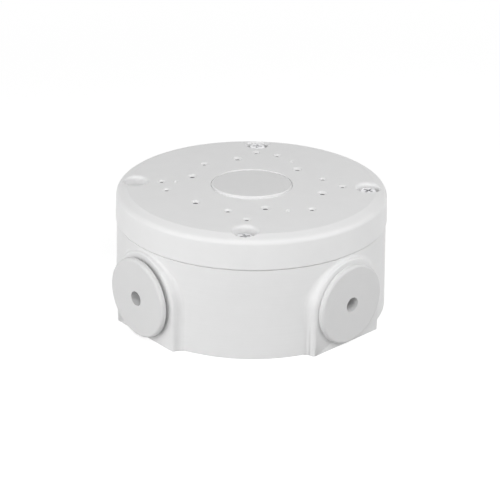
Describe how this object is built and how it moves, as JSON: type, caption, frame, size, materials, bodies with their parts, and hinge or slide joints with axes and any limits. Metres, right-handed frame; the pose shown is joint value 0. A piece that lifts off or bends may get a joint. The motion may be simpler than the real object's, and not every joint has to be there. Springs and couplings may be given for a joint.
{
  "type": "camera junction box",
  "caption": "Round cast junction box with flat port pads, plugged cable ports, a screwed cover with recessed screws and a flat seat with holes for a camera's foot.",
  "frame": {"origin": "centre of the wall-fixing circle on the wall face", "axes": "+Z from the wall face towards the cover's flat top, which is the camera's seat; ports on +X, +Y, -X and -Y; cover screws on the diagonals"},
  "size_m": [0.1324, 0.134, 0.0578],
  "materials": {
    "cast_white": "satin white powder coat on die-cast aluminium",
    "plug_rubber": "matt pale grey moulded rubber",
    "screw_steel": "zinc-plated steel, satin",
    "black_rubber": "matt black rubber and foam",
    "washer_brass": "satin brass"
  },
  "bodies": {
    "root": {"base_box": "cast_white", "cover": "cast_white", "cover_gasket": "black_rubber", "wall_gasket": "black_rubber", "centre_plug": "plug_rubber", "side_plug_front": "plug_rubber", "side_plug_right": "plug_rubber", "side_plug_back": "plug_rubber", "side_plug_left": "plug_rubber", "cover_screws": "screw_steel", "screw_spring_washers": "screw_steel", "screw_sealing_washers": "black_rubber", "screw_retainers": "black_rubber", "ground_screw": "screw_steel", "ground_spring_washer": "screw_steel", "ground_cup_washer": "washer_brass"}
  },
  "joints": []
}
